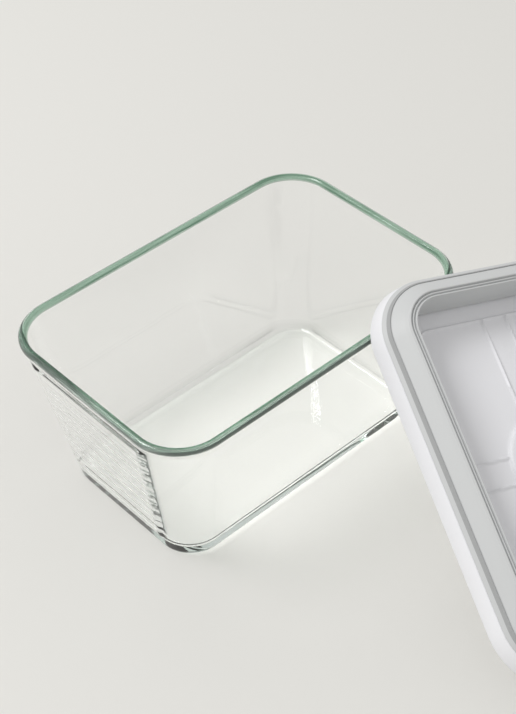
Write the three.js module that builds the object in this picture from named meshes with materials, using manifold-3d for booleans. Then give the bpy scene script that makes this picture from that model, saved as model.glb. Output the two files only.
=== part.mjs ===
// Glass butter dish with a sealed push-on lid. Millimetres, +Z up, origin at the centre of the dish's base.
// The lid is set down beside the dish: underside up, one corner on the table, its flat back on the rim.
import * as THREE from 'three';
import { mergeVertices } from 'three/addons/utils/BufferGeometryUtils.js';
import Module from 'manifold-3d';

// ---- Glass dish -------------------------------------------------------------------------------
const dishLength = 180;          // over the rim bead
const dishWidth = 120.1;         // over the rim bead
const dishHeight = 85.9;         // table to the top of the bead
const rimCornerRadius = 24.6;    // plan radius of the bead's outside
const baseCornerRadius = 16.3;   // plan radius of the wall where it would meet the table
const wallThickness = 3.0;
const beadOverhang = 1.0;        // the round rim bead stands proud of the outer wall
const floorThickness = 4.0;
const wallDraft = 10.5;          // degrees that each wall leans out
const footRadius = 3.0;          // outside rounding between wall and base
const innerFootRadius = 6.0;     // inside rounding between wall and floor

// Grip panel moulded on the dish's -X end wall: level rounded ribs with sharp valleys, under a plain band
const ribCount = 7;
const ribPitch = 8.35;           // valley to valley
const ribHeight = 0.9;           // how far a rib stands out of the wall
const ribStart = 9.8;            // height of the lowest valley
const ribPanelTop = 78.6;        // height at which the plain band ends
const ribLowLength = 58;         // length of the panel where it would meet the table
const ribHighLength = 78;        // and at the rim
const ribRoot = 1.0;             // how deep the panel is sunk into the wall

// ---- Lid shell: z = 0 is the free edge of its outer wall, +Z out of the underside -----------------
const lidOverhang = 1.0;         // lid edge beyond the dish's bead, each side
const lidCornerRadius = 27.2;    // plan radius of the lid's edge
const lidDepth = 10.8;           // lid edge to the flat outside face
const lidFlare = 2.0;            // outer wall widens by this much towards the outside face
const lidRound = 3.5;            // rounding between outer wall and outside face
const lidWall = 2.0;
const lidPlate = 2.0;            // thickness of the flat top
const coreHeight = 6.9;          // plug core above the lid edge
const coreThickness = 1.6;
const ledgeWidth = 7.1;          // flat border inside the plug
const panelRecess = 0.8;         // panel lies this much lower than the border
const borderBead = 0.7;          // small bead between border and panel
const stiffenerHeight = 1.3;
const stiffenerWidth = 2.0;
const stiffenerSpread = 12.2;    // between the two ribs of a pair
const bossRadius = 21.8;
const bossHeight = 2.0;

// ---- Gasket -----------------------------------------------------------------------------------
const fitGap = 0.3;              // between the gasket and the shell, all over
const sealInset = 2.85;          // lid edge to the small groove beside the fins
const sealHeight = 3.5;
const crownInset = 9.45;         // lid edge to the outer lip of the crown
const crownWidth = 3.4;          // over both lips
const crownHeight = 9.6;         // tips of the lips above the lid edge
const lipWidth = 0.55;
const lipHeight = 1.0;
const stripEdge = 0.6;           // thickness of the gasket's outer edge
const sleeveThickness = 1.25;    // leg that covers the inside of the plug core
const skinThickness = 1.3;       // under the sloped band

// ---- How the lid lies ---------------------------------------------------------------------------
const leanHeading = 68.2;        // degrees, the lid's long axis from +X
const leanAlong = 54.8;          // lid's middle beyond the dish's middle, along the side it leans on
const rimOverlap = 7.9;          // lid's upper corner reaches in over the bead, seen from above
const restGap = 0.3;             // lid to rim
const tableGap = 0.05;           // lid corner to table

const cornerSteps = 8;
const arcSteps = 6;
const degrees = Math.PI / 180;

const wasm = await Module();
wasm.setup();

// ---- Mesh helpers -------------------------------------------------------------------------------

// Points of a rounded rectangle, counter-clockwise: four quarter arcs joined by straight sides.
function roundedOutline(halfLength, halfWidth, radius) {
  const centres = [[1, 1], [-1, 1], [-1, -1], [1, -1]];
  return centres.flatMap(([sx, sy], quarter) => {
    const start = quarter * Math.PI / 2;
    const arc = new THREE.EllipseCurve(sx * (halfLength - radius), sy * (halfWidth - radius),
      radius, radius, start, start + Math.PI / 2);
    return arc.getPoints(cornerSteps);
  });
}

// Skins a list of level outlines, each { halfLength, halfWidth, radius, z }. An open list is closed by
// flat ends, a looped list joins its last outline to its first.
function skinOutlines(rows, looped) {
  const rings = rows.map((row) => roundedOutline(row.halfLength, row.halfWidth, row.radius));
  const count = rings[0].length;
  const positions = [];
  rings.forEach((ring, i) => ring.forEach((point) => positions.push(point.x, point.y, rows[i].z)));
  const faces = [];
  const bands = looped ? rings.length : rings.length - 1;
  for (let i = 0; i < bands; i += 1) {
    const lower = i * count;
    const upper = ((i + 1) % rings.length) * count;
    for (let k = 0; k < count; k += 1) {
      const next = (k + 1) % count;
      faces.push(lower + k, lower + next, upper + next, lower + k, upper + next, upper + k);
    }
  }
  if (!looped) {
    const first = positions.length / 3;
    positions.push(0, 0, rows[0].z, 0, 0, rows[rows.length - 1].z);
    const last = (rings.length - 1) * count;
    for (let k = 0; k < count; k += 1) {
      const next = (k + 1) % count;
      faces.push(first, next, k, first + 1, last + k, last + next);
    }
  }
  const geometry = new THREE.BufferGeometry();
  geometry.setAttribute('position', new THREE.Float32BufferAttribute(positions, 3));
  geometry.setIndex(faces);
  return geometry;
}

function toSolid(geometry) {
  const bare = geometry.clone();
  bare.deleteAttribute('normal');
  bare.deleteAttribute('uv');
  const merged = mergeVertices(bare, 1e-4);
  const mesh = new wasm.Mesh({
    numProp: 3,
    vertProperties: new Float32Array(merged.attributes.position.array),
    triVerts: new Uint32Array(merged.index.array),
  });
  return new wasm.Manifold(mesh);
}

function toGeometry(solid) {
  const mesh = solid.getMesh();
  const geometry = new THREE.BufferGeometry();
  geometry.setAttribute('position', new THREE.Float32BufferAttribute(mesh.vertProperties, 3));
  geometry.setIndex(new THREE.BufferAttribute(mesh.triVerts, 1));
  geometry.computeVertexNormals();
  return geometry;
}

// Quarter of a circle as [across, up] steps from straight down to straight out.
function quarterRound(radius, sweep) {
  return Array.from({ length: arcSteps + 1 }, (_, k) => {
    const angle = sweep * k / arcSteps;
    return [radius * Math.sin(angle), radius - radius * Math.cos(angle)];
  });
}

// ---- Dish ---------------------------------------------------------------------------------------

const beadRadius = (wallThickness + beadOverhang) / 2;
const beadHeight = dishHeight - beadRadius;             // centre line of the bead
const draftSlope = Math.tan(wallDraft * degrees);

// Outline that lies `inward` of the outer wall at height z.
function wallRow(z, inward) {
  const share = z / beadHeight;
  const back = beadOverhang + draftSlope * (beadHeight - z) + inward;
  const wallRadius = THREE.MathUtils.lerp(baseCornerRadius, rimCornerRadius - beadOverhang, share);
  return {
    halfLength: dishLength / 2 - back,
    halfWidth: dishWidth / 2 - back,
    radius: wallRadius - inward,
    z,
  };
}

// Outline measured inward from the bead's outermost line.
function rimRow(inward, z) {
  return {
    halfLength: dishLength / 2 - inward,
    halfWidth: dishWidth / 2 - inward,
    radius: rimCornerRadius - inward,
    z,
  };
}

// A rounding of the given radius between the wall and a level face, from the face out to the wall.
function footRows(faceHeight, radius, inward) {
  const sweep = Math.PI / 2 - wallDraft * degrees;
  const reach = radius * (1 / Math.cos(wallDraft * degrees) - Math.tan(wallDraft * degrees));
  const corner = wallRow(faceHeight, inward);
  return quarterRound(radius, sweep).map(([across, up]) => ({
    halfLength: corner.halfLength - reach + across,
    halfWidth: corner.halfWidth - reach + across,
    radius: corner.radius - reach + across,
    z: faceHeight + up,
  }));
}

// The bead's section: a circle from under its overhang, over the top, to the inner wall.
function beadRows() {
  const steps = 2 * arcSteps;
  return Array.from({ length: steps + 1 }, (_, k) => {
    const angle = THREE.MathUtils.lerp(-Math.PI / 3, Math.PI, k / steps);
    const inward = beadRadius * (1 - Math.cos(angle));
    return rimRow(inward, beadHeight + beadRadius * Math.sin(angle));
  });
}

function dishBody() {
  const outside = footRows(0, footRadius, 0);
  outside.push(wallRow(beadHeight - 1.3 * beadRadius, 0));
  const bead = beadRows();
  const inside = footRows(floorThickness, innerFootRadius, wallThickness).reverse();
  return skinOutlines([...outside, ...bead, ...inside], false);
}

// The panel's section across the end wall, as [distance from the middle, height] points.
function gripSection() {
  const stepsPerRib = 4;
  const ribTop = ribStart + ribCount * ribPitch;
  const outer = [];
  for (let k = 0; k < ribCount * stepsPerRib; k += 1) {
    const across = (k % stepsPerRib) / stepsPerRib * 2 - 1;
    outer.push([ribStart + k * ribPitch / stepsPerRib, ribHeight * (1 - across * across)]);
  }
  outer.push([ribTop, 0], [ribTop + ribHeight, ribHeight]);
  outer.push([ribPanelTop - 2 * ribHeight, ribHeight], [ribPanelTop, 0]);
  const section = outer.map(([z, lift]) => [wallRow(z, 0).halfLength + lift, z]);
  section.push([wallRow(ribPanelTop, ribRoot).halfLength, ribPanelTop]);
  section.push([wallRow(ribStart, ribRoot).halfLength, ribStart]);
  return section;
}

// Extrudes a list of [x, y] points to both sides of its plane.
function extrudeBothWays(points, depth) {
  const outline = new THREE.Shape(points.map(([x, y]) => new THREE.Vector2(x, y)));
  return new THREE.ExtrudeGeometry(outline, { depth, bevelEnabled: false }).translate(0, 0, -depth / 2);
}

// The ribbed panel: its section drawn along Y, with its ends cut to lines that follow the wall's taper.
function gripPanel() {
  const bar = extrudeBothWays(gripSection(), ribHighLength);
  bar.rotateX(Math.PI / 2);
  bar.rotateZ(Math.PI);
  const low = ribLowLength / 2;
  const high = ribHighLength / 2;
  const trapezoid = [[-low, 0], [low, 0], [high, dishHeight], [-high, dishHeight]];
  const ends = extrudeBothWays(trapezoid, 2 * dishLength);
  ends.rotateX(Math.PI / 2);
  ends.rotateZ(Math.PI / 2);
  return toSolid(bar).intersect(toSolid(ends));
}

function glassDish() {
  return toGeometry(toSolid(dishBody()).add(gripPanel()));
}

// ---- Lid shell ------------------------------------------------------------------------------------

const lidHalfLength = dishLength / 2 + lidOverhang;
const lidHalfWidth = dishWidth / 2 + lidOverhang;
const lidFloor = lidPlate - lidDepth;                        // inside face of the flat top
const sleeveInside = crownInset + crownWidth + 0.15;         // the gasket's inner wall, with a little draft
const coreInside = sleeveInside - sleeveThickness - fitGap;
const coreOutside = coreInside - coreThickness;

// Outline at `inset` from the lid's edge line. Negative insets lie outside it.
function lidRow(inset, z) {
  return {
    halfLength: lidHalfLength - inset,
    halfWidth: lidHalfWidth - inset,
    radius: Math.max(lidCornerRadius - inset, 1),
    z,
  };
}

function shellBody() {
  const outside = quarterRound(lidRound, Math.PI / 2)
    .map(([across, up]) => lidRow(lidRound - lidFlare - across, up - lidDepth));
  const border = sleeveInside + ledgeWidth;
  const profile = [
    [0, 0], [lidWall, 0], [lidWall - lidFlare, lidFloor + 1.5], [lidWall - lidFlare + 1.5, lidFloor],
    [coreOutside, lidFloor], [coreOutside, coreHeight], [coreInside, coreHeight], [coreInside, lidFloor],
    [border, lidFloor], [border + borderBead / 2, lidFloor + borderBead],
    [border + borderBead, lidFloor + borderBead], [border + 2 * borderBead, lidFloor - panelRecess],
  ];
  return skinOutlines([...outside, ...profile.map(([inset, z]) => lidRow(inset, z))], false);
}

// A straight stiffening rib that stands on the panel, centred at (x, y).
function stiffener(length, alongX, x, y) {
  const sunk = lidPlate / 3;
  const height = stiffenerHeight + sunk;
  const size = alongX ? [length, stiffenerWidth] : [stiffenerWidth, length];
  const bar = new THREE.BoxGeometry(...size, height);
  bar.translate(x, y, lidFloor - panelRecess - sunk + height / 2);
  return bar;
}

function centreBoss() {
  const sunk = lidPlate / 3;
  const bottom = lidFloor - panelRecess - sunk;
  const top = lidFloor + bossHeight;
  const ease = bossHeight / 4;
  const side = [[bossRadius, bottom], [bossRadius, top - ease], [bossRadius - ease, top]];
  const outline = [[0, bottom], ...side, [0, top]].map(([r, z]) => new THREE.Vector2(r, z));
  const boss = new THREE.LatheGeometry(outline, 48);
  boss.rotateX(Math.PI / 2);
  return boss;
}

function lidShell() {
  const border = sleeveInside + ledgeWidth + 2 * borderBead;
  const reachX = lidHalfLength - border + borderBead / 2;
  const reachY = lidHalfWidth - border + borderBead / 2;
  let solid = toSolid(shellBody());
  for (const side of [-1, 1]) {
    solid = solid.add(toSolid(stiffener(2 * reachX, true, 0, side * stiffenerSpread / 2)));
    solid = solid.add(toSolid(stiffener(2 * reachY, false, side * stiffenerSpread / 2, 0)));
  }
  return toGeometry(solid.add(toSolid(centreBoss())));
}

// ---- Gasket ---------------------------------------------------------------------------------------

// The ring's section as [inset, height] points, round the outside first and back along its underside.
function gasketSection() {
  const crownEnd = crownInset + crownWidth;
  const crownFloor = crownHeight - lipHeight;
  const bandStart = sealInset + 0.35;
  const bandEnd = crownInset - 0.25;
  const underCrown = coreHeight + fitGap;
  return [
    [fitGap / 2, fitGap], [fitGap / 2, fitGap + stripEdge],
    [sealInset * 0.68, sealHeight * 0.64], [sealInset, sealHeight - 0.1],
    [sealInset + 0.15, sealHeight - 0.7], [bandStart, sealHeight + 0.15],
    [bandEnd - 1.5, crownFloor - 0.95], [bandEnd, crownFloor - 0.15],
    [crownInset, crownHeight], [crownInset + lipWidth, crownHeight],
    [crownInset + lipWidth + 0.25, crownFloor], [crownEnd - lipWidth - 0.25, crownFloor],
    [crownEnd - lipWidth, crownHeight], [crownEnd, crownHeight],
    [sleeveInside, lidFloor + fitGap], [coreInside + fitGap, lidFloor + fitGap],
    [coreInside + fitGap, underCrown], [coreOutside - fitGap, underCrown],
    [bandEnd - 0.6, underCrown - 0.4],
    [bandStart + skinThickness * 0.7, sealHeight + 0.15 - skinThickness * 0.7],
    [lidWall + fitGap, fitGap],
  ];
}

function lidGasket() {
  const rows = gasketSection().map(([inset, z]) => lidRow(inset, z));
  const geometry = skinOutlines(rows, true);
  geometry.computeVertexNormals();
  return geometry;
}

// ---- The lid's resting place --------------------------------------------------------------------

// How far a rounded rectangle reaches along a direction, from its centre.
function outlineReach(direction, halfLength, halfWidth, radius) {
  return Math.abs(direction.x) * (halfLength - radius) + Math.abs(direction.y) * (halfWidth - radius)
    + radius * Math.hypot(direction.x, direction.y);
}

// Where the lid comes to lie when its long axis rises by `pitch` degrees: its flat back flush along the
// dish's -Y side, on the bead, and its lowest corner on the table.
function lidStance(pitch) {
  const rise = pitch * degrees;
  const heading = leanHeading * degrees;
  const roll = Math.atan(Math.sin(rise) / Math.tan(heading));      // keeps the back level along X
  const rotation = new THREE.Euler(roll, -rise, heading, 'ZYX');
  const turn = new THREE.Matrix4().makeRotationFromEuler(rotation);
  const toLid = turn.clone().invert();
  const outward = new THREE.Vector3(0, 0, 1).transformDirection(turn);

  // The lowest corner touches the table: this sets the height.
  const down = new THREE.Vector3(0, 0, -1).transformDirection(toLid);
  const corner = lidRow(lidRound - lidFlare, lidRound - lidDepth);
  const height = outlineReach(down, corner.halfLength, corner.halfWidth, corner.radius)
    + down.z * corner.z + lidRound + tableGap;

  // The back touches the bead: this sets how far out the lid's middle stands along -Y.
  const beadLine = dishWidth / 2 - beadRadius;
  const offBead = beadRadius + restGap + lidDepth + outward.z * (beadHeight - height);
  const distance = beadLine - offBead / outward.y;

  // How far the lid's flat back then reaches in over the bead's outside.
  const inward = new THREE.Vector3(0, 1, 0).transformDirection(toLid);
  const lidReach = outlineReach(inward, corner.halfLength, corner.halfWidth, corner.radius)
    - inward.z * lidDepth;
  const position = new THREE.Vector3(leanAlong, -distance, height);
  return { rotation, position, overlap: dishWidth / 2 + lidReach - distance };
}

// The stance with the wanted overlap, found by halving: a steeper lid reaches further in.
function restingStance() {
  let gentle = 2;
  let steep = 60;
  for (let step = 0; step < 40; step += 1) {
    const middle = (gentle + steep) / 2;
    if (lidStance(middle).overlap > rimOverlap) {
      steep = middle;
    } else {
      gentle = middle;
    }
  }
  return lidStance(gentle);
}

// ---- Assembly -----------------------------------------------------------------------------------

const glass = new THREE.MeshStandardMaterial({ color: 0xdbe9e2, roughness: 0.05, metalness: 0 });
const whitePlastic = new THREE.MeshStandardMaterial({ color: 0xeeeef1, roughness: 0.38, metalness: 0 });
const greyElastomer = new THREE.MeshStandardMaterial({ color: 0xcfd0cf, roughness: 0.6, metalness: 0 });

function piece(name, geometry, material) {
  const mesh = new THREE.Mesh(geometry, material);
  mesh.name = name;
  return mesh;
}

const lid = new THREE.Group();
lid.add(piece('lid_shell', lidShell(), whitePlastic), piece('lid_gasket', lidGasket(), greyElastomer));
const stance = restingStance();
lid.rotation.copy(stance.rotation);
lid.position.copy(stance.position);

const butterDish = new THREE.Group();
butterDish.add(piece('glass_dish', glassDish(), glass), lid);

export default butterDish;
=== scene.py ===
"""Glass butter dish with its sealed lid set down beside it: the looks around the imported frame."""
import math

import bpy
import numpy as np
from mathutils import Matrix, Vector


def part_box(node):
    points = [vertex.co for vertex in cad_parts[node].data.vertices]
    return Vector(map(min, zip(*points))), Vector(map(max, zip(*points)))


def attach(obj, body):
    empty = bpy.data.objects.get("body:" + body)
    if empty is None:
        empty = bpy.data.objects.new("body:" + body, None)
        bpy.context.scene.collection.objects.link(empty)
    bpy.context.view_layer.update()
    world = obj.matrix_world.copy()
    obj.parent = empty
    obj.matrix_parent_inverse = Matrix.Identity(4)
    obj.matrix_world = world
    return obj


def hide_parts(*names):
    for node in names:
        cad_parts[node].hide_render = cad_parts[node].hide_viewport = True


bl_info = {
    "name": "Glass Butter Dish",
    "version": (1, 0, 0),
    "blender": (4, 5, 0),
    "location": "View3D > Sidebar > Butter Dish",
    "description": "Makes a glass butter dish, its sealed lid and a plain studio around the packed frame",
    "category": "Add Mesh",
}

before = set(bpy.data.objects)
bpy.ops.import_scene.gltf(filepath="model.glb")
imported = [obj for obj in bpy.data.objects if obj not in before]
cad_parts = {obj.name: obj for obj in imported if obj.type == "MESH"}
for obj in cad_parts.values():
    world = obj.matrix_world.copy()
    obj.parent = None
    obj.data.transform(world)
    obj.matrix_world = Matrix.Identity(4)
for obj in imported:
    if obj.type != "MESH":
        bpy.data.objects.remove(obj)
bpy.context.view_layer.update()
DISH_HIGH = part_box("glass_dish")[1]
MM = 0.001

# Small sizes of the dish
FLARE_HEIGHT = 2.8 * MM  # the wall starts to flare this far below the bead
BEAD_EDGE = 0.4 * MM  # the inner wall's first row lies this far below the bead
FLAT_BORDER = 1.0 * MM  # width of the narrow ring that keeps a flat face flat

# Small sizes of the lid
FALL_CORNER = 8.0 * MM  # corner radius of the outline inside which the stiffeners fall
FALL_SLOPE = 2.2 * MM  # inward width over which they fall by the gentle half
FALL_EDGE = 0.5 * MM  # inward width over which they fall by the sharp half, beside the bead
BOSS_FLANK = 0.8 * MM  # width of the boss's flank
WELL_SLIT = 0.5 * MM  # half width of the line in the lid's middle where its inside closes
SHELL_CHAMFER = 1.5 * MM  # size of the corner between outer wall and plate, inside
INNER_WALL_OFFSET = 0.15 * MM  # the gasket's inner wall stands this far inside its crown

# Tint of the bead over its section, from its outer side (0) to the inner wall (1), as pairs of
# place and strength: partly the glass's own deeper green, partly painted shade and painted light,
# whose darker and paler bands, such as the pale line near the middle, stand in for refraction
BEAD_TINT_AND_PAINTED_SHADE = ((0.05, 0.4), (0.30, 0.7), (0.44, 0.85), (0.48, 0.6), (0.53, 1.0), (0.96, 1.0))

# Sockets of the Mix node in its colour mode
MIX_FACTOR, MIX_LOW, MIX_HIGH, MIX_RESULT = 0, 6, 7, 2


# ---------------------------------------------------------------- sizes and colours a user would change

def length(name, default, description):
    """A size in millimetres with its name, default and description."""
    return bpy.props.FloatProperty(name=name, description=description, default=default * MM,
                                   unit="LENGTH", subtype="DISTANCE", precision=5)


def angle(name, degrees, description):
    """An angle given in degrees."""
    return bpy.props.FloatProperty(name=name, description=description,
                                   default=math.radians(degrees), subtype="ANGLE", unit="ROTATION")


def share(name, default, description):
    """A plain number."""
    return bpy.props.FloatProperty(name=name, description=description, default=default)


def colour(name, default, description):
    """A linear RGB colour."""
    return bpy.props.FloatVectorProperty(name=name, description=description, default=default,
                                         subtype="COLOR", size=3, min=0.0, max=1.0)


class DishSettings(bpy.types.PropertyGroup):
    """Sizes and tint of the glass dish."""
    wall: length("Wall", 3.0, "Thickness of the glass wall, measured level")
    overhang: length("Bead overhang", 1.0, "How far the rim bead stands out of the wall")
    floor: length("Floor", 4.0, "Thickness of the glass floor")
    rim_radius: length("Rim corner", 24.6, "Plan radius of the rim's outside")
    base_radius: length("Base corner", 16.3, "Plan radius of the wall where it would meet the table")
    draft: angle("Draft", 10.5, "How much the walls lean out")
    foot: length("Foot rounding", 3.0, "Rounding between wall and base, outside")
    inner_foot: length("Inner foot rounding", 6.0, "Rounding between wall and floor, inside")
    ribs: bpy.props.IntProperty(name="Grip ribs", description="Ribs in the end wall's panel", default=7)
    rib_start: length("Lowest valley", 9.8, "Height at which the grip panel starts")
    rib_pitch: length("Rib pitch", 8.35, "Height from valley to valley")
    rib_height: length("Rib height", 0.9, "How far a rib stands out")
    panel_ease: length("Panel ease", 2.4, "Length over which the panel's ends fall back to the wall")
    rib_dip: share("Rib dip", 0.25, "Depth of the valleys as a share of the ribs' height")
    panel_top: length("Panel top", 78.6, "Height at which the plain band ends")
    panel_low: length("Panel length, low", 58.0, "Length of the panel where it would meet the table")
    panel_high: length("Panel length, high", 78.0, "Length of the panel at the rim")
    tint: colour("Glass", (0.10, 0.64, 0.40), "Colour that light takes on through thick glass")
    pane: colour("Pane", (0.80, 0.805, 0.80), "Share of the lamps' light that the glass lets through")
    density: share("Tint density", 1.8, "Strength of the tint for each metre of glass")
    # Painted shade: this dark green is partly the bead's own deeper tint and partly shade from refraction
    # in the bead
    bead_green_with_painted_shade: colour("Bead, dark", (0.045, 0.14, 0.075), "Tint of the rim bead's outer side")
    bead_clarity: share("Bead clarity", 0.72, "Share of the light that the bead's skin lets in")
    # Painted light: these pale streaks stand in for light refracted along the bead
    bead_green_with_painted_light: colour("Bead, pale", (0.24, 0.44, 0.31), "Tint of the rim bead's pale streaks")


class LidSettings(bpy.types.PropertyGroup):
    """Sizes, pose and colours of the lid's shell and gasket."""
    overhang: length("Overhang", 1.0, "Lid edge beyond the rim bead")
    corner: length("Corner", 27.2, "Plan radius of the lid's edge")
    depth: length("Depth", 10.8, "From the lid's edge to its flat outside face")
    flare: length("Flare", 2.0, "The outer wall widens by this much")
    rounding: length("Rounding", 3.5, "Rounding between outer wall and outside face")
    wall: length("Wall", 2.0, "Thickness of the shell's outer wall")
    plate: length("Plate", 2.0, "Thickness of the flat top")
    core: length("Core", 6.9, "Height of the plug core above the edge")
    core_wall: length("Core wall", 1.6, "Thickness of the plug core")
    ledge: length("Ledge", 7.1, "Width of the flat border inside the plug")
    stiffener_fall: length("Stiffener fall", 1.2, "How much lower the ribs are away from the border")
    bead: length("Border bead", 0.7, "Height and half width of the bead round the panel")
    stiffener_height: length("Stiffener height", 2.1, "Height of the ribs before they fall")
    stiffener_width: length("Stiffener width", 2.0, "Width of the ribs on the panel")
    stiffener_spread: length("Stiffener spread", 12.2, "Distance between the two ribs of a pair")
    boss_radius: length("Boss radius", 21.7, "Radius of the round boss")
    boss_height: length("Boss height", 2.0, "Height of the boss above the border")
    gap: length("Gap", 0.3, "Clearance between the gasket and the shell")
    seal_inset: length("Seal inset", 2.85, "Lid edge to the groove beside the fins")
    seal_height: length("Seal height", 3.5, "Height of that groove above the lid edge")
    crown_inset: length("Crown inset", 9.45, "Lid edge to the crown's outer lip")
    crown_width: length("Crown width", 3.4, "Width over both lips")
    crown_height: length("Crown height", 9.6, "Tips of the lips above the lid edge")
    sleeve: length("Sleeve", 1.25, "Thickness of the gasket's leg inside the core")
    heading: angle("Heading", 68.2, "The lid's long axis from +X")
    pitch: angle("Pitch", 25.597, "How steeply the long axis rises")
    white: colour("Plastic", (0.86, 0.86, 0.885), "White plastic")
    grey: colour("Elastomer", (0.60, 0.61, 0.61), "Light grey elastomer")


class StageSettings(bpy.types.PropertyGroup):
    """Camera, floor and light of the studio."""
    camera: bpy.props.FloatVectorProperty(name="Camera", description="Where the camera stands",
                                          default=(-0.34991, -0.40740, 0.54102), subtype="XYZ")
    heading: angle("Heading", 41.454, "Level direction that the camera looks in, from +Y towards +X")
    dip: angle("Dip", 42.428, "How far the camera looks down")
    lean: angle("Lean", -1.833, "Turn about the camera's own line of sight")
    focal: bpy.props.FloatProperty(name="Focal length", description="Lens for a 36 mm sensor",
                                   default=79.79)
    clearance: length("Floor clearance", 0.3, "Air between the glass base and the floor")
    paper: colour("Floor", (0.77, 0.762, 0.73), "Pale studio floor")
    sky: colour("Sky", (1.0, 0.995, 0.985), "Soft light from all round")
    sky_strength: share("Sky strength", 0.60, "Strength of the light from all round")
    key_power: share("Key light", 25.0, "Power of the large soft lamp, in watts")
    key_place: bpy.props.FloatVectorProperty(name="Key place", description="Where the lamp stands",
                                             default=(-0.9, 0.8, 1.9), subtype="XYZ")
    key_size: share("Key size", 0.8, "Side of the lamp, in metres")
    floor_reach: share("Floor reach", 3.0, "Half the side of the floor, in metres")


DISH, LID, STAGE = "butter_dish_glass", "butter_dish_lid", "butter_dish_stage"


# ---------------------------------------------------------------- surfaces

def rounded_outline(rows, corner_steps, side_steps, crowd=0.0):
    """Rounded rectangles, one for each row (half length, half width, radius, height), as arrays x and
    y of shape (rows, points): four quarter circles about the corner centres, with side_steps points
    on each straight side at u |u|^crowd from its middle, which crowds them there."""
    half_length, half_width, radius = (rows[:, k][:, None] for k in range(3))
    turn = np.linspace(0, math.pi / 2, corner_steps + 1)
    quarter = np.repeat(np.arange(4), corner_steps + 1)
    at = np.tile(turn, 4) + quarter * math.pi / 2
    side_x = np.array([1, -1, -1, 1])[quarter]
    side_y = np.array([1, 1, -1, -1])[quarter]
    x = side_x * (half_length - radius) + radius * np.cos(at)
    y = side_y * (half_width - radius) + radius * np.sin(at)
    count = corner_steps + 1
    spread = np.linspace(-1, 1, side_steps + 2)[1:-1]
    between = 0.5 + 0.5 * spread * np.abs(spread) ** crowd
    parts_x, parts_y = [], []
    for corner in range(4):
        first, last = corner * count, (corner + 1) * count - 1
        following = (last + 1) % (4 * count)
        for grid, parts in ((x, parts_x), (y, parts_y)):
            parts.append(grid[:, first:last + 1])
            parts.append(grid[:, [last]] * (1 - between) + grid[:, [following]] * between)
    return np.concatenate(parts_x, 1), np.concatenate(parts_y, 1)


def skin(name, rows, corner_steps, side_steps=0, looped=False, shape=None, place=None, marks=None,
         crowd=0.0):
    """A mesh over level outlines: the grid of outline point by row, in which each row is (half length,
    half width, radius, height). An open skin is closed by flat caps, a looped one joins its ends.
    shape moves the grid points (arrays x, y, z), and place is the 3 by 4 matrix that puts them down.
    marks, one for each row, goes into the attribute "mark", which a material can read."""
    rows = np.asarray(rows, float)
    x, y = rounded_outline(rows, corner_steps, side_steps, crowd)
    z = np.repeat(rows[:, 3][:, None], x.shape[1], axis=1)
    if shape is not None:
        x, y, z = shape(x, y, z)
    points = np.stack([x, y, z], -1).reshape(-1, 3)
    if place is not None:
        points = points @ place[:, :3].T + place[:, 3]
    index = np.arange(x.size).reshape(x.shape)
    lower = index if looped else index[:-1]
    upper = np.roll(index, -1, axis=0) if looped else index[1:]
    quads = np.stack([lower, np.roll(lower, -1, axis=1), np.roll(upper, -1, axis=1), upper], -1)
    faces = quads.reshape(-1, 4).tolist()
    if not looped:
        faces += [index[0][::-1].tolist(), index[-1].tolist()]
    mesh = bpy.data.meshes.new(name)
    mesh.from_pydata(points.tolist(), [], faces)
    mesh.shade_smooth()
    if marks is not None:
        mark = mesh.attributes.new("mark", "FLOAT", "POINT")
        mark.data.foreach_set("value", np.repeat(marks, x.shape[1]).astype(np.float32))
    return mesh


def round_section(points, radii, steps):
    """A closed section with rounded corners: each corner point is replaced by steps + 1 points of the
    quadratic curve between the points its radius away along both edges."""
    points = np.asarray(points, float)
    radii = np.asarray(radii, float)[:, None]
    to_last = np.roll(points, 1, axis=0) - points
    to_next = np.roll(points, -1, axis=0) - points
    size_last = np.linalg.norm(to_last, axis=1, keepdims=True)
    size_next = np.linalg.norm(to_next, axis=1, keepdims=True)
    reach = np.minimum(radii, 0.48 * np.minimum(size_last, size_next))
    start = points + to_last / size_last * reach
    end = points + to_next / size_next * reach
    t = np.linspace(0, 1, steps + 1)[None, :, None]
    curve = (1 - t) ** 2 * start[:, None] + 2 * t * (1 - t) * points[:, None] + t ** 2 * end[:, None]
    return curve.reshape(-1, 2)


def smooth_step(value, low, high):
    """0 below low, 1 above high, and the S curve 3t^2 - 2t^3 between them."""
    t = np.clip((value - low) / (high - low), 0, 1)
    return t * t * (3 - 2 * t)


def new_piece(mesh, material, body, slot, *nodes):
    """The mesh as an object of its own that rides on a body and stands for CAD nodes."""
    mesh.materials.append(material)
    piece = bpy.data.objects.new(mesh.name, mesh)
    bpy.context.scene.collection.objects.link(piece)
    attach(piece, body)
    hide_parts(*nodes)
    return piece


# ---------------------------------------------------------------- materials

def new_material(name):
    """An empty node material with its output node."""
    material = bpy.data.materials.new(name)
    material.use_nodes = True
    material.node_tree.nodes.clear()
    output = material.node_tree.nodes.new("ShaderNodeOutputMaterial")
    return material, material.node_tree, output


def add(tree, kind, settings=None, **sockets):
    """A node of that kind, its settings set by attribute and its sockets by name."""
    node = tree.nodes.new(kind)
    for name, value in (settings or {}).items():
        setattr(node, name, value)
    for name, value in sockets.items():
        node.inputs[name.replace("_", " ")].default_value = value
    return node


def mixed_colour(tree, factor, low, high):
    """A colour that goes from low to high with the factor socket."""
    mix = add(tree, "ShaderNodeMix", {"data_type": "RGBA"})
    mix.inputs[MIX_LOW].default_value = (*low, 1)
    mix.inputs[MIX_HIGH].default_value = (*high, 1)
    tree.links.new(factor, mix.inputs[MIX_FACTOR])
    return mix.outputs[MIX_RESULT]


def ranged(tree, value, from_low, from_high, to_low, to_high):
    """The value socket carried from one range to another, clamped."""
    node = add(tree, "ShaderNodeMapRange", None, From_Min=from_low, From_Max=from_high,
               To_Min=to_low, To_Max=to_high)
    tree.links.new(value, node.inputs["Value"])
    return node.outputs["Result"]


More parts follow.
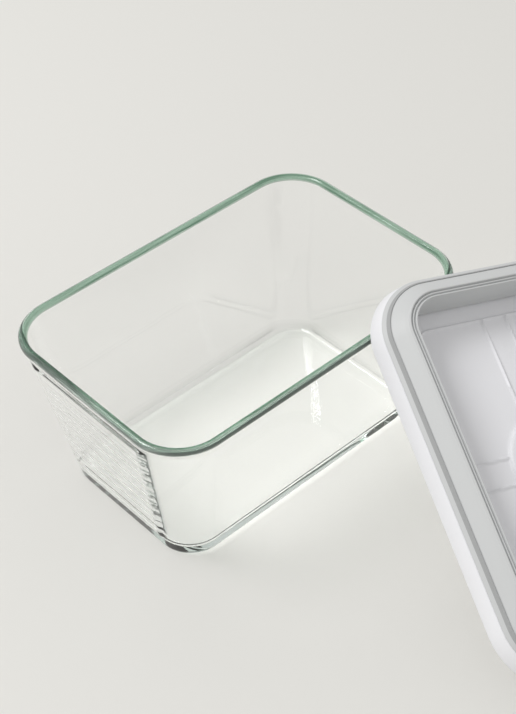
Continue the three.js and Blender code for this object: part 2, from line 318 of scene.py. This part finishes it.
def bead_tint_with_painted_shade(tree, place, settings):
    """Tint of the glass surface, and its mark: no tint on the walls, and on the bead bands of green that
    follow its section (the attribute "mark" runs from 0 to 1 over it), broken up by long streaks. The
    bands and streaks are partly the glass's own deeper green and partly painted shade and painted
    light that stand in for refraction in the bead."""
    mark = add(tree, "ShaderNodeAttribute", {"attribute_name": "mark"})
    stretch = add(tree, "ShaderNodeCombineXYZ")
    split = add(tree, "ShaderNodeSeparateXYZ")
    tree.links.new(place.outputs["Object"], split.inputs[0])
    along, around = 24.0, 7.0
    for axis, source, factor in (("X", split.outputs["X"], along), ("Y", split.outputs["Y"], along),
                                 ("Z", mark.outputs["Fac"], around)):
        scaled = add(tree, "ShaderNodeMath", {"operation": "MULTIPLY"})
        scaled.inputs[1].default_value = factor
        tree.links.new(source, scaled.inputs[0])
        tree.links.new(scaled.outputs[0], stretch.inputs[axis])
    # Painted light and shade: dark and pale streaks along the rim stand in for refraction in the bead
    streaks = add(tree, "ShaderNodeTexNoise", None, Scale=1.0, Detail=3.0, Roughness=0.6)
    tree.links.new(stretch.outputs[0], streaks.inputs["Vector"])
    green = mixed_colour(tree, ranged(tree, streaks.outputs["Fac"], 0.38, 0.62, 0, 1),
                         settings.bead_green_with_painted_shade, settings.bead_green_with_painted_light)
    amount = add(tree, "ShaderNodeValToRGB")
    bands = amount.color_ramp.elements
    for end, position in zip(bands, (0.0, 1.0)):
        end.position = position
        end.color = (0, 0, 0, 1)
    # Painted shade and light: these bands across the section stand in for the lines that refraction draws
    # on the bead
    for position, strength in BEAD_TINT_AND_PAINTED_SHADE:
        bands.new(position).color = (strength, strength, strength, 1)
    tree.links.new(mark.outputs["Fac"], amount.inputs["Fac"])
    tint = add(tree, "ShaderNodeMix", {"data_type": "RGBA"})
    tint.inputs[MIX_LOW].default_value = (1, 1, 1, 1)
    tree.links.new(amount.outputs["Color"], tint.inputs[MIX_FACTOR])
    tree.links.new(green, tint.inputs[MIX_HIGH])
    return tint.outputs[MIX_RESULT], mark.outputs["Fac"]


def glass_material(settings):
    """Clear soda-lime glass, green by depth. The bead takes a deeper tint, in streaks along the rim,
    partly its own green and partly painted shade and painted light for the refraction in it. Faint
    waves of the pressed surface are a low noise bump, and lamps shine through it as through a thin grey
    pane. The bead's skin is a little cloudy, which shows that painted green and keeps its dark parts
    green."""
    material, tree, output = new_material("green_tinted_glass")
    place = add(tree, "ShaderNodeTexCoord")
    tint, mark = bead_tint_with_painted_shade(tree, place, settings)
    waves = add(tree, "ShaderNodeTexNoise", None, Scale=30.0, Detail=1.0, Roughness=0.4)
    tree.links.new(place.outputs["Object"], waves.inputs["Vector"])
    bump = add(tree, "ShaderNodeBump", None, Strength=0.05, Distance=0.002)
    tree.links.new(waves.outputs["Fac"], bump.inputs["Height"])
    glass = add(tree, "ShaderNodeBsdfPrincipled", None, Roughness=0.0, IOR=1.5)
    clarity = ranged(tree, mark, 0.0, 0.08, 1.0, settings.bead_clarity)
    tree.links.new(clarity, glass.inputs["Transmission Weight"])
    tree.links.new(tint, glass.inputs["Base Color"])
    tree.links.new(bump.outputs["Normal"], glass.inputs["Normal"])
    clear = add(tree, "ShaderNodeBsdfTransparent", None, Color=(*settings.pane, 1))
    ray = add(tree, "ShaderNodeLightPath")
    mix = add(tree, "ShaderNodeMixShader")
    tree.links.new(ray.outputs["Is Shadow Ray"], mix.inputs[0])
    tree.links.new(glass.outputs[0], mix.inputs[1])
    tree.links.new(clear.outputs[0], mix.inputs[2])
    tree.links.new(mix.outputs[0], output.inputs["Surface"])
    depth = add(tree, "ShaderNodeVolumeAbsorption", None, Color=(*settings.tint, 1),
                Density=settings.density)
    tree.links.new(depth.outputs[0], output.inputs["Volume"])
    return material


def moulded_material(name, base, roughness, grain, depth, groove=0.0):
    """Moulded plastic or elastomer: a fine grain in the bump, and slow patches that move its colour by
    two per cent and its roughness by a tenth. Where "mark" is 1 the colour is darker by groove, painted
    shade for a shaded crease."""
    material, tree, output = new_material(name)
    place = add(tree, "ShaderNodeTexCoord")
    patches = add(tree, "ShaderNodeTexNoise", None, Scale=24.0, Detail=3.0, Roughness=0.6)
    tree.links.new(place.outputs["Object"], patches.inputs["Vector"])
    drift, gloss_drift = 0.02, 0.1
    low = [channel * (1 - drift) for channel in base]
    high = [min(1, channel * (1 + drift)) for channel in base]
    tone = mixed_colour(tree, patches.outputs["Fac"], low, high)
    # Painted shade: the marked fins are darkened by groove, standing in for the shade in their crease
    if groove:
        mark = add(tree, "ShaderNodeAttribute", {"attribute_name": "mark"})
        shade = mixed_colour(tree, mark.outputs["Fac"], (1, 1, 1), [1 - groove] * 3)
        product = add(tree, "ShaderNodeMix", {"data_type": "RGBA", "blend_type": "MULTIPLY"})
        product.inputs[MIX_FACTOR].default_value = 1
        tree.links.new(tone, product.inputs[MIX_LOW])
        tree.links.new(shade, product.inputs[MIX_HIGH])
        tone = product.outputs[MIX_RESULT]
    gloss = ranged(tree, patches.outputs["Fac"], 0.3, 0.7, roughness * (1 - gloss_drift),
                   roughness * (1 + gloss_drift))
    texture = add(tree, "ShaderNodeTexNoise", None, Scale=grain, Detail=2.0)
    tree.links.new(place.outputs["Object"], texture.inputs["Vector"])
    bump = add(tree, "ShaderNodeBump", None, Strength=0.35, Distance=depth)
    tree.links.new(texture.outputs["Fac"], bump.inputs["Height"])
    shader = add(tree, "ShaderNodeBsdfPrincipled", None, IOR=1.47)
    tree.links.new(tone, shader.inputs["Base Color"])
    tree.links.new(gloss, shader.inputs["Roughness"])
    tree.links.new(bump.outputs["Normal"], shader.inputs["Normal"])
    tree.links.new(shader.outputs[0], output.inputs["Surface"])
    return material


def paper_material(settings):
    """Matt studio paper with a very faint grain."""
    material, tree, output = new_material("studio_paper")
    place = add(tree, "ShaderNodeTexCoord")
    grain = add(tree, "ShaderNodeTexNoise", None, Scale=3.0, Detail=2.0)
    tree.links.new(place.outputs["Object"], grain.inputs["Vector"])
    low = [channel * 0.99 for channel in settings.paper]
    tone = mixed_colour(tree, grain.outputs["Fac"], low, settings.paper)
    shader = add(tree, "ShaderNodeBsdfDiffuse")
    tree.links.new(tone, shader.inputs["Color"])
    tree.links.new(shader.outputs[0], output.inputs["Surface"])
    return material


# ---------------------------------------------------------------- dish

def wall_outline(settings, height, inward):
    """Rows of the drafted wall: each side stands back from the bead by the overhang plus the draft's
    tangent times the drop from the bead, plus inward."""
    top = DISH_HIGH.z - (settings.wall + settings.overhang) / 2
    height = np.asarray(height, float)
    back = settings.overhang + math.tan(settings.draft) * (top - height) + inward
    upper = settings.rim_radius - settings.overhang
    radius = settings.base_radius + (upper - settings.base_radius) * height / top - inward
    return np.stack([DISH_HIGH.x - back, DISH_HIGH.y - back, radius, height], -1)


def foot_outline(settings, face, radius, inward, steps):
    """Rows of the rounding between a level face and the wall: a circle that touches both, from the
    face (straight down) to where it meets the wall."""
    turn = np.linspace(0, math.pi / 2 - settings.draft, steps + 1)
    rows = wall_outline(settings, np.full(steps + 1, face), inward)
    reach = radius * (1 / math.cos(settings.draft) - math.tan(settings.draft))
    rows[:, :3] += (radius * np.sin(turn) - reach)[:, None]
    rows[:, 3] = face + radius * (1 - np.cos(turn))
    return rows


def bead_outline(settings, steps):
    """Rows of the rim bead: a circle from a little below its outer side, over the top, to the inner
    wall."""
    radius = (settings.wall + settings.overhang) / 2
    turn = np.linspace(math.radians(-20), math.pi, steps + 1)
    inward = radius * (1 - np.cos(turn))
    return np.stack([DISH_HIGH.x - inward, DISH_HIGH.y - inward, settings.rim_radius - inward,
                     DISH_HIGH.z - radius + radius * np.sin(turn)], -1)


def flare_outline(settings, start, bead_row, steps):
    """Rows that carry the wall out into the bead: from the start height up to the bead's first row the
    wall moves out by an S curve of the height."""
    height = np.linspace(start, bead_row[3], steps + 1)
    rows = wall_outline(settings, height, 0.0)
    share_out = smooth_step(height, start, bead_row[3] + 0.5 * (bead_row[3] - start))
    rows[:, :3] += np.outer(share_out / share_out[-1], bead_row[:3] - rows[-1, :3])
    return rows[1:-1]


def flat_border(row, width):
    """The row moved inward by width at its own height, which keeps a flat face flat to its border."""
    inner = row.copy()
    inner[:3] -= width
    return inner[None]


def grip_shape(settings, outer_rows):
    """Moves the end wall's panel out along the wall's normal. At height z and place y along the wall:
    ribs, 1 - dip t^4 from valley to valley, then a plain band, times an S curve at the ends."""
    def shape(x, y, z):
        turn = (z - settings.rib_start) / settings.rib_pitch
        across = 2 * (turn - np.floor(turn)) - 1
        top = settings.rib_start + settings.ribs * settings.rib_pitch
        band = 1 - settings.rib_dip * (1 - smooth_step(z, top, top + settings.rib_height))
        band = band * (1 - smooth_step(z, settings.panel_top - 2 * settings.rib_height,
                                       settings.panel_top))
        inside = (z > settings.rib_start) & (z < top)
        ribs = np.where(inside, 1 - settings.rib_dip * np.abs(across) ** 4, band)
        first = smooth_step(z, settings.rib_start - settings.rib_height, settings.rib_start)
        ribs = np.where(z <= settings.rib_start, first * (1 - settings.rib_dip), ribs)
        low, high = settings.panel_low, settings.panel_high
        half = (low + (high - low) * z / DISH_HIGH.z) / 2
        ends = 1 - smooth_step(np.abs(y), half - settings.panel_ease, half)
        outer = np.arange(x.shape[0])[:, None] < outer_rows
        out = settings.rib_height * ribs * ends * (x < 0) * outer
        return x - out * math.cos(settings.draft), y, z - out * math.sin(settings.draft)
    return shape


def dish_mesh(settings):
    """The pressed trough as one closed skin: foot rounding, drafted wall in fine level steps for the
    grip ribs, rim bead, inner wall, inner foot rounding, and flat faces below and above the floor."""
    foot_steps, wall_steps, flare_steps, bead_steps = 12, 230, 10, 28
    inside_steps, inner_foot_steps, corner_steps, side_steps = 6, 16, 20, 36
    foot = foot_outline(settings, 0.0, settings.foot, 0.0, foot_steps)
    bead = bead_outline(settings, bead_steps)
    heights = np.linspace(foot[-1, 3], bead[0, 3] - FLARE_HEIGHT, wall_steps)[1:]
    wall = wall_outline(settings, heights, 0.0)
    wall = np.concatenate([wall, flare_outline(settings, heights[-1], bead[0], flare_steps)])
    inner = foot_outline(settings, settings.floor, settings.inner_foot, settings.wall,
                         inner_foot_steps)[::-1]
    levels = np.linspace(bead[-1, 3] - BEAD_EDGE, inner[0, 3], inside_steps)[:-1]
    inside = wall_outline(settings, levels, settings.wall)
    rows = np.concatenate([flat_border(foot[0], FLAT_BORDER), foot, wall, bead, inside, inner,
                           flat_border(inner[-1], FLAT_BORDER)])
    outer_rows = 1 + len(foot) + len(wall)
    marks = np.zeros(len(rows))
    marks[outer_rows:outer_rows + len(bead)] = np.linspace(0, 1, len(bead))
    return skin("glass_dish_pressed", rows, corner_steps, side_steps,
                shape=grip_shape(settings, outer_rows), marks=marks)


# ---------------------------------------------------------------- lid

def lid_outline(settings, section):
    """Rows of the lid for section points (inset from the edge line, height above it)."""
    section = np.asarray(section, float)
    inset, height = section[:, 0], section[:, 1]
    half_length = DISH_HIGH.x + settings.overhang - inset
    half_width = DISH_HIGH.y + settings.overhang - inset
    radius = np.maximum(settings.corner - inset, 1 * MM)
    radius = np.minimum(radius, half_width)
    return np.stack([half_length, half_width, radius, height], -1)


def well_outline(settings, inset, steps):
    """Rows that shrink the border inside the plug to a short line in the lid's middle."""
    start = lid_outline(settings, [[inset, settings.plate - settings.depth]])[0]
    inward = np.linspace(0, start[1] - WELL_SLIT, steps + 1)[1:]
    return np.stack([start[0] - inward, start[1] - inward, np.maximum(start[2] - inward, WELL_SLIT),
                     np.full(steps, start[3])], -1)


def box_distance(x, y, half_length, half_width, radius):
    """Distance inward from a rounded rectangle's outline (negative outside), by the usual formula:
    radius minus the length of the positive part of |p| - half + radius, less the inner maximum."""
    qx = np.abs(x) - half_length + radius
    qy = np.abs(y) - half_width + radius
    outside = np.hypot(np.maximum(qx, 0), np.maximum(qy, 0))
    return radius - outside - np.minimum(np.maximum(qx, qy), 0)


def ridge(across, half_width, ease):
    """A bar's section: 1 on its top, with S-curve flanks that end at half_width."""
    return 1 - smooth_step(np.abs(across), half_width - ease, half_width)


def well_shape(settings, first_row):
    """Heights of the lid's inside over its border, from first_row on: the highest of a bead round
    the panel, two pairs of stiffening ribs and the round boss, each an S-curved ridge, and 0 on the
    rest of the panel. The ribs fall by two S curves of the distance inward from the bead."""
    def shape(x, y, z):
        floor = settings.plate - settings.depth
        inset = well_inset(settings) + settings.ledge
        half_length = DISH_HIGH.x + settings.overhang - inset
        half_width = DISH_HIGH.y + settings.overhang - inset
        inner = box_distance(x, y, half_length, half_width, settings.corner - inset)
        bead = settings.bead * ridge(inner - settings.bead, settings.bead, 0.5 * settings.bead)
        start = 2 * settings.bead
        panel = box_distance(x, y, half_length - start, half_width - start, FALL_CORNER)
        fall = 0.5 * settings.stiffener_fall * (smooth_step(panel, 0, FALL_SLOPE)
                                                + smooth_step(inner, start, start + FALL_EDGE))
        half = settings.stiffener_width / 2
        spread = settings.stiffener_spread / 2
        along = ridge(np.abs(y) - spread, half, 0.75 * half)
        across = ridge(np.abs(x) - spread, half, 0.75 * half)
        ends = smooth_step(inner, 1.6 * settings.bead, 2.6 * settings.bead)
        bars = settings.stiffener_height * np.maximum(along, across) * ends - fall
        boss = settings.boss_height * ridge(np.hypot(x, y), settings.boss_radius, BOSS_FLANK)
        height = np.maximum(bars, np.maximum(bead, boss))
        well = np.arange(x.shape[0])[:, None] >= first_row
        return x, y, np.where(well, floor + height * (inner > 0), z)
    return shape


def well_inset(settings):
    """Inset of the gasket's inner wall at the lid's floor."""
    return settings.crown_inset + settings.crown_width + INNER_WALL_OFFSET


def core_insets(settings):
    """Insets of the plug core's outside and inside, which carry the gasket's sleeve."""
    inside = well_inset(settings) - settings.sleeve - settings.gap
    return inside - settings.core_wall, inside


def shell_rows(settings):
    """The shell's section from its flat outside face, round the flared outer wall and the plug core,
    to the border inside."""
    floor = settings.plate - settings.depth
    fillet_points, corner_steps = 15, 3
    turn = np.radians(np.linspace(-90, 0, fillet_points))
    across = settings.rounding - settings.flare - settings.rounding * np.cos(turn)
    fillet = np.stack([across, settings.rounding * (1 + np.sin(turn)) - settings.depth], -1)
    low_wall = settings.wall - settings.flare
    core_out, core_in = core_insets(settings)
    corners = np.array([
        [0, 0], [settings.wall, 0], [low_wall, floor + SHELL_CHAMFER],
        [low_wall + SHELL_CHAMFER, floor],
        [core_out, floor], [core_out, settings.core], [core_in, settings.core], [core_in, floor],
        [core_in + settings.sleeve, floor],
    ])
    radii = np.array([0.35, 0.35, 0.5, 0.5, 0.3, 0.4, 0.4, 0.3, 0.0]) * MM
    rounded = round_section(np.concatenate([fillet[-1:], corners]), np.r_[0, radii], corner_steps)
    ends = corner_steps + 1
    section = np.concatenate([fillet[:-1], rounded[ends:-ends]])
    return lid_outline(settings, section)


def lid_place(settings, points):
    """The 3 by 4 matrix that puts the lid's own frame (z = 0 at its edge, +Z out of its underside)
    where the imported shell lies. It is turned by heading, pitch and the roll that keeps its back level
    along X, and moved so that the turned points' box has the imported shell's centre."""
    roll = math.atan(math.sin(settings.pitch) / math.tan(settings.heading))
    turn = np.array(Matrix.Rotation(settings.heading, 3, "Z")
                    @ Matrix.Rotation(-settings.pitch, 3, "Y") @ Matrix.Rotation(roll, 3, "X"))
    turned = points @ turn.T
    low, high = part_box("lid_shell")
    middle = (np.array(low) + np.array(high)) / 2
    move = middle - (turned.min(0) + turned.max(0)) / 2
    return np.concatenate([turn, move[:, None]], 1)


def placed(settings):
    """The lid's place, from the outline points of its shell's section."""
    rows = shell_rows(settings)
    corner_steps = 24
    x, y = rounded_outline(rows, corner_steps, 0)
    z = np.repeat(rows[:, 3][:, None], x.shape[1], axis=1)
    return lid_place(settings, np.stack([x, y, z], -1).reshape(-1, 3))


def shell_mesh(settings):
    """The lid's white moulding as one closed skin, its inside worked out as a field of heights."""
    well_steps, corner_steps, side_steps = 100, 12, 120
    outside = shell_rows(settings)
    back = flat_border(outside[0], FLAT_BORDER)
    well = well_outline(settings, well_inset(settings), well_steps)
    rows = np.concatenate([back, outside, well])
    first_row = 1 + len(outside)
    return skin("lid_shell_moulding", rows, corner_steps, side_steps,
                shape=well_shape(settings, first_row), place=placed(settings), crowd=0.7)


def fins(start, end, count, height):
    """A saw of count fins along the line from start to end, standing height off it."""
    start, end = np.array(start), np.array(end)
    line = end - start
    normal = np.array([-line[1], line[0]]) / np.linalg.norm(line)
    share_along = np.linspace(0, 1, 2 * count + 1)[1:-1]
    lift = np.where(np.arange(2 * count - 1) % 2 == 0, height, 0)
    return start + share_along[:, None] * line + lift[:, None] * normal


def gasket_rows(settings):
    """Rows and marks of the gasket's closed section, the marks 1 on the fins, where the material paints
    shade: outer strip, fine fins, groove, sloped band, the lips of the crown, the sleeve inside the
    core, and back underneath."""
    floor = settings.plate - settings.depth
    core_out, core_in = core_insets(settings)
    gap = settings.gap
    crown_end = settings.crown_inset + settings.crown_width
    seal = np.array([settings.seal_inset, settings.seal_height])
    crown = np.array([settings.crown_inset, settings.crown_height])
    strip_end = [0.64 * settings.seal_inset, 0.46 * settings.seal_height]
    strip = [[gap / 2, gap], [gap / 2, gap + 0.35 * MM], strip_end]
    fin_points = fins(strip_end, seal, 4, 0.22 * MM)
    band = [
        seal, seal + [0.15 * MM, -0.6 * MM], seal + [0.45 * MM, 0.1 * MM],
        crown + [-2.0 * MM, -2.05 * MM], crown + [-0.35 * MM, -0.95 * MM],
    ]
    lip_width, lip_foot = 0.55 * MM, 0.85 * MM
    groove, ridge_top = crown[1] - 1.2 * MM, crown[1] - 0.3 * MM
    middle = settings.crown_inset + settings.crown_width / 2
    lips = [
        [crown[0] - 0.05 * MM, crown[1]], [crown[0] + lip_width, crown[1]],
        [crown[0] + lip_foot, groove], [middle - 0.45 * MM, groove],
        [middle - 0.25 * MM, ridge_top], [middle + 0.25 * MM, ridge_top],
        [middle + 0.45 * MM, groove], [crown_end - lip_foot, groove],
        [crown_end - lip_width, crown[1]], [crown_end + 0.05 * MM, crown[1]],
    ]
    sleeve_end, under = floor + 2.5 * gap, settings.core + gap
    underside = [
        [well_inset(settings), sleeve_end], [core_in + gap, sleeve_end], [core_in + gap, under],
        [core_out - gap, under], [settings.crown_inset - 0.85 * MM, under - 0.4 * MM],
        [settings.seal_inset + 1.25 * MM, settings.seal_height - 0.75 * MM],
        [settings.wall + gap, gap],
    ]
    points = np.array([list(p) for p in [*strip, *fin_points, *band, *lips, *underside]])
    radii = [0.15, 0.25, 0.3] + [0.05] * len(fin_points) + [0.12, 0.12, 0.3, 1.6, 0.3]
    radii += [0.2] * (len(lips) + len(underside))
    corner_steps = 4
    section = round_section(points, np.array(radii) * MM, corner_steps)
    per_point = corner_steps + 1
    first = (len(strip) - 1) * per_point + per_point // 2
    last = (len(strip) + len(fin_points) + 1) * per_point
    marks = np.zeros(len(section))
    marks[first:last] = 1
    return lid_outline(settings, section), marks


def gasket_mesh(settings):
    """The elastomer ring: its section carried round the lid's outline and joined to itself."""
    rows, marks = gasket_rows(settings)
    corner_steps, side_steps = 24, 2
    return skin("lid_gasket_ring", rows, corner_steps, side_steps, looped=True,
                place=placed(settings), marks=marks)


# ---------------------------------------------------------------- operators

class BUTTERDISH_OT_glass(bpy.types.Operator):
    """Make the pressed glass dish with its rim bead and grip ribs"""
    bl_idname = "butterdish.glass"
    bl_label = "Glass Dish"

    def execute(self, context):
        settings = getattr(context.scene, DISH)
        new_piece(dish_mesh(settings), glass_material(settings), "dish", "clear_glass", "glass_dish")
        return {"FINISHED"}


class BUTTERDISH_OT_lid_shell(bpy.types.Operator):
    """Make the lid's white plastic shell with its panel, ribs and boss"""
    bl_idname = "butterdish.lid_shell"
    bl_label = "Lid Shell"

    def execute(self, context):
        settings = getattr(context.scene, LID)
        plastic = moulded_material("white_satin_plastic", settings.white, roughness=0.42,
                                   grain=1800.0, depth=0.03 * MM)
        new_piece(shell_mesh(settings), plastic, "lid", "white_plastic", "lid_shell")
        return {"FINISHED"}


class BUTTERDISH_OT_gasket(bpy.types.Operator):
    """Make the lid's grey elastomer gasket with its fins and lips"""
    bl_idname = "butterdish.gasket"
    bl_label = "Lid Gasket"

    def execute(self, context):
        settings = getattr(context.scene, LID)
        # Painted shade: the fins' crease is darkened by about a third
        rubber = moulded_material("grey_elastomer", settings.grey, roughness=0.5,
                                  grain=2600.0, depth=0.04 * MM, groove=0.32)
        new_piece(gasket_mesh(settings), rubber, "gasket", "grey_elastomer", "lid_gasket")
        return {"FINISHED"}


class BUTTERDISH_OT_stage(bpy.types.Operator):
    """Make the pale floor, the soft studio light and the camera"""
    bl_idname = "butterdish.stage"
    bl_label = "Studio"

    def execute(self, context):
        scene = context.scene
        settings = getattr(scene, STAGE)
        make_floor(scene, settings)
        make_light(scene, settings)
        make_camera(scene, settings)
        return {"FINISHED"}


def make_floor(scene, settings):
    """A level sheet of paper, just clear of the glass base so that light gets under it."""
    mesh = bpy.data.meshes.new("studio_floor")
    reach, low = settings.floor_reach, -settings.clearance
    corners = [(-reach, -reach, low), (reach, -reach, low), (reach, reach, low), (-reach, reach, low)]
    mesh.from_pydata(corners, [], [(0, 1, 2, 3)])
    mesh.materials.append(paper_material(settings))
    floor = bpy.data.objects.new("studio_floor", mesh)
    scene.collection.objects.link(floor)


def add_lamp(scene, name, place, target, size, power):
    """A square soft lamp at place that shines at target."""
    data = bpy.data.lights.new(name, "AREA")
    data.size = size
    data.energy = power
    lamp = bpy.data.objects.new(name, data)
    lamp.location = place
    lamp.rotation_euler = (Vector(target) - Vector(place)).to_track_quat("-Z", "Y").to_euler()
    scene.collection.objects.link(lamp)


def make_light(scene, settings):
    """Even light from all round, and one large soft lamp from behind on the left."""
    world = bpy.data.worlds.new("studio_sky")
    world.use_nodes = True
    sky = world.node_tree.nodes["Background"]
    sky.inputs["Color"].default_value = (*settings.sky, 1)
    sky.inputs["Strength"].default_value = settings.sky_strength
    scene.world = world
    add_lamp(scene, "key_lamp", settings.key_place, (0, 0, 0), settings.key_size, settings.key_power)
    scene.view_settings.view_transform = "Standard"
    scene.cycles.max_bounces = 32
    scene.cycles.transmission_bounces = 32
    scene.cycles.glossy_bounces = 16


def make_camera(scene, settings):
    """The camera at its place, looking along heading and dip, then turned by lean about that line."""
    level = Vector((math.cos(settings.heading), -math.sin(settings.heading), 0))
    ahead = Vector((math.sin(settings.heading) * math.cos(settings.dip),
                    math.cos(settings.heading) * math.cos(settings.dip), -math.sin(settings.dip)))
    above = level.cross(ahead)
    right = level * math.cos(settings.lean) + above * math.sin(settings.lean)
    up = right.cross(ahead)
    data = bpy.data.cameras.new("camera")
    data.sensor_fit = "AUTO"
    data.sensor_width = 36
    data.lens = settings.focal
    data.clip_start = 0.01
    camera = bpy.data.objects.new("camera", data)
    turn = Matrix((right, up, -ahead)).transposed().to_4x4()
    camera.matrix_world = Matrix.Translation(Vector(settings.camera)) @ turn
    scene.collection.objects.link(camera)
    scene.camera = camera


class BUTTERDISH_PT_panel(bpy.types.Panel):
    """Lists the steps that make the butter dish"""
    bl_idname = "BUTTERDISH_PT_panel"
    bl_label = "Butter Dish"
    bl_space_type = "VIEW_3D"
    bl_region_type = "UI"
    bl_category = "Butter Dish"

    def draw(self, context):
        for step in OPERATORS:
            self.layout.operator(step.bl_idname)


SETTINGS = {DISH: DishSettings, LID: LidSettings, STAGE: StageSettings}
OPERATORS = (BUTTERDISH_OT_glass, BUTTERDISH_OT_lid_shell, BUTTERDISH_OT_gasket, BUTTERDISH_OT_stage)


def register():
    """Registers the settings, the operators and the panel."""
    for name, group in SETTINGS.items():
        bpy.utils.register_class(group)
        setattr(bpy.types.Scene, name, bpy.props.PointerProperty(type=group))
    for operator in OPERATORS:
        bpy.utils.register_class(operator)
    bpy.utils.register_class(BUTTERDISH_PT_panel)


def unregister():
    """Undoes register, last class first."""
    bpy.utils.unregister_class(BUTTERDISH_PT_panel)
    for operator in reversed(OPERATORS):
        bpy.utils.unregister_class(operator)
    for name, group in SETTINGS.items():
        delattr(bpy.types.Scene, name)
        bpy.utils.unregister_class(group)


def main():
    """Makes the whole scene."""
    register()
    bpy.ops.butterdish.glass()
    bpy.ops.butterdish.lid_shell()
    bpy.ops.butterdish.gasket()
    bpy.ops.butterdish.stage()


if __name__ == "__main__":
    main()
